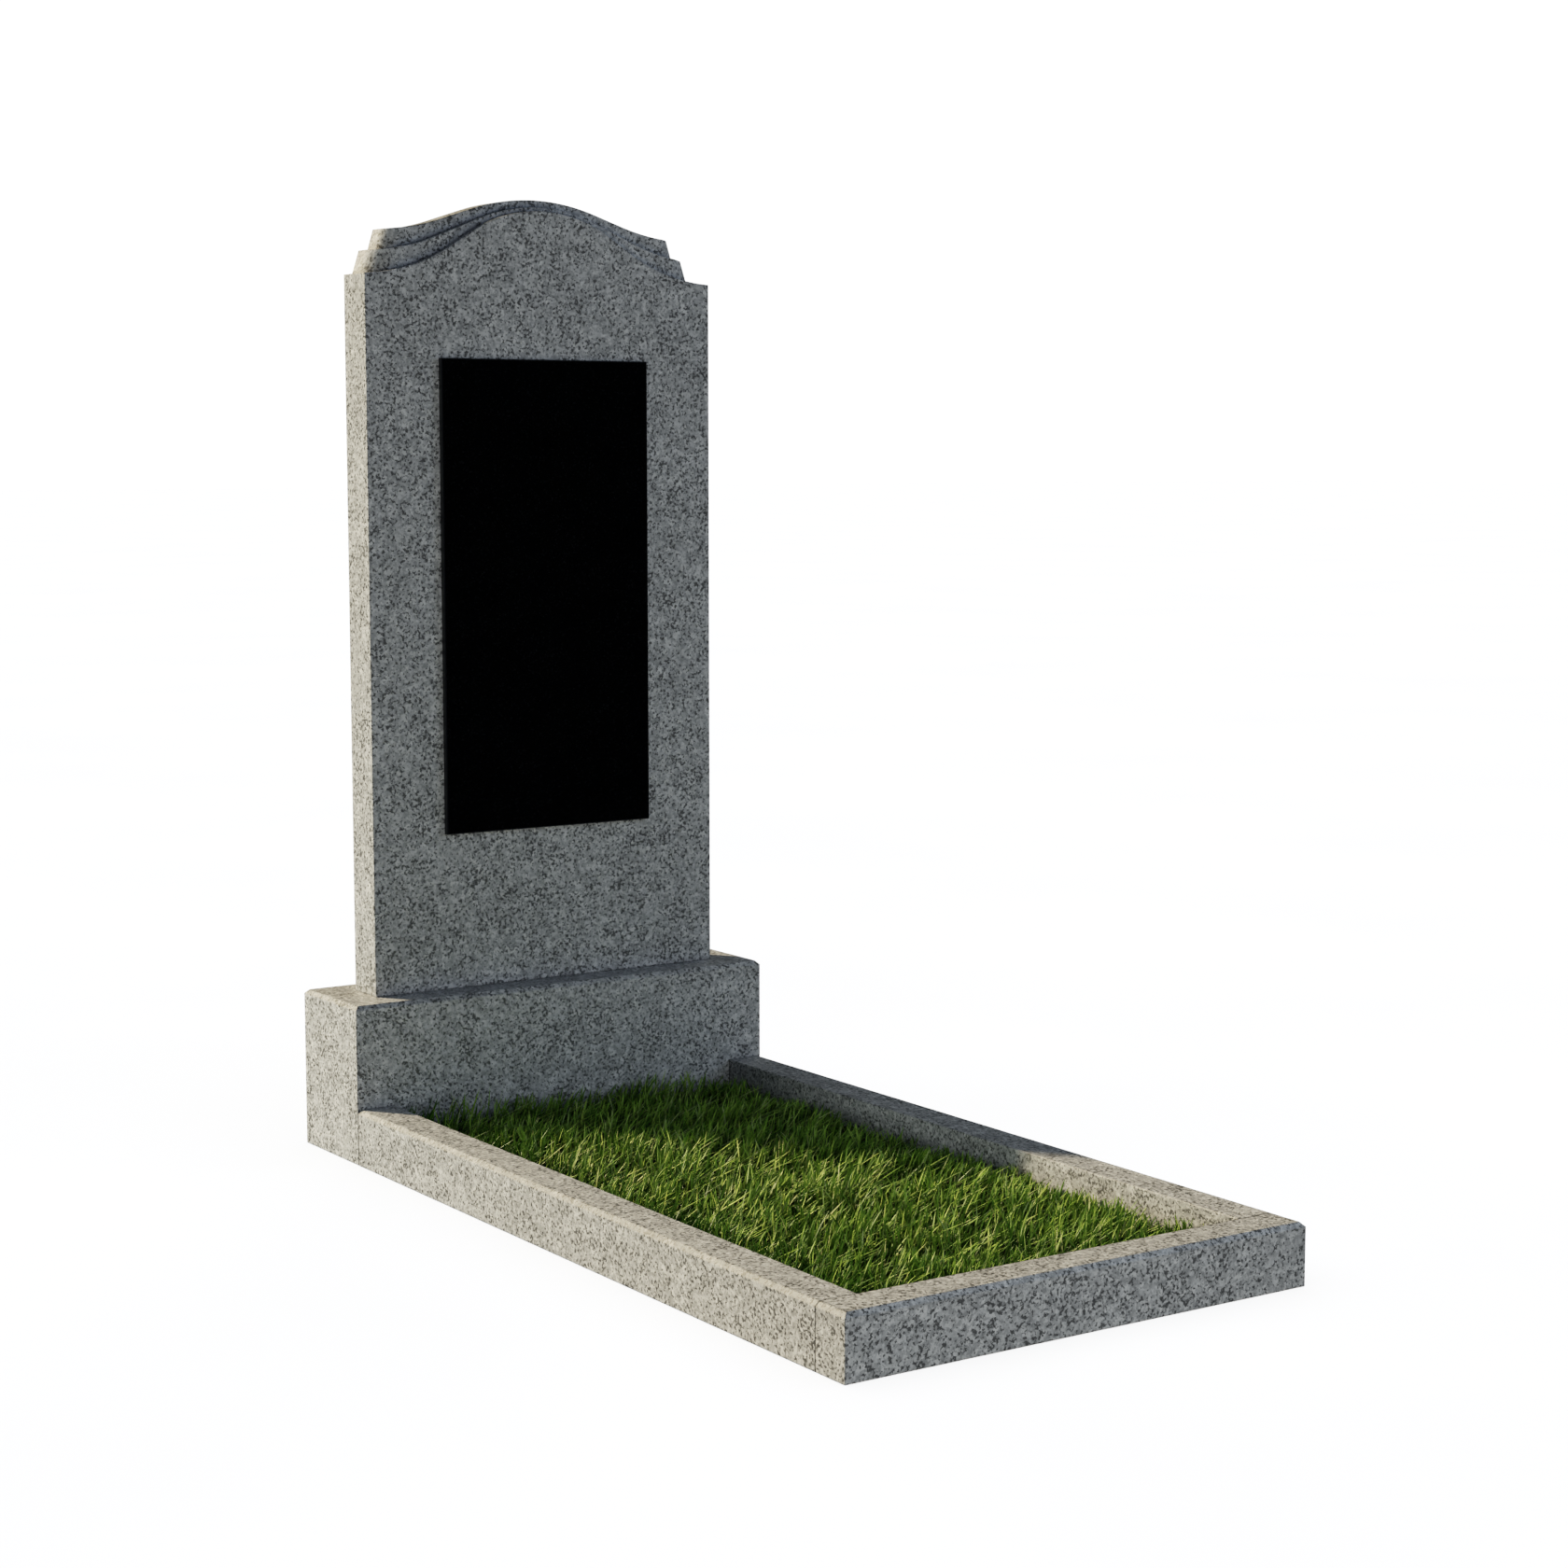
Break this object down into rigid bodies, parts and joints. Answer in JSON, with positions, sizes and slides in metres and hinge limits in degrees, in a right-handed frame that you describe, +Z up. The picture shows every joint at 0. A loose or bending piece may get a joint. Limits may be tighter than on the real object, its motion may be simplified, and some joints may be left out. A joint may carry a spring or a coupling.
{
  "type": "grave monument",
  "caption": "Granite headstone with a stepped ogee top and a blank polished black panel, standing on a plinth block behind a kerbed bed of turf.",
  "frame": {"origin": "on the ground, under the middle of the whole plot: halfway across the kerbs in X and halfway between the front kerb's face and the plinth's back in Y", "axes": "+X to the viewer's right as seen from the panel side, +Y from the front kerb towards the headstone, so the panel faces -Y, and +Z up"},
  "size_m": [0.6, 1.2, 1.2023],
  "materials": {
    "grey_granite": "honed speckled grey granite with pale feldspar and dark mica grains",
    "black_granite": "mirror-polished black gabbro",
    "turf": "dense uncut grass on dark soil"
  },
  "bodies": {
    "root": {"stele": "grey_granite", "panel": "black_granite", "base": "grey_granite", "kerb_left": "grey_granite", "kerb_right": "grey_granite", "kerb_front": "grey_granite", "turf_bed": "turf"}
  },
  "joints": []
}
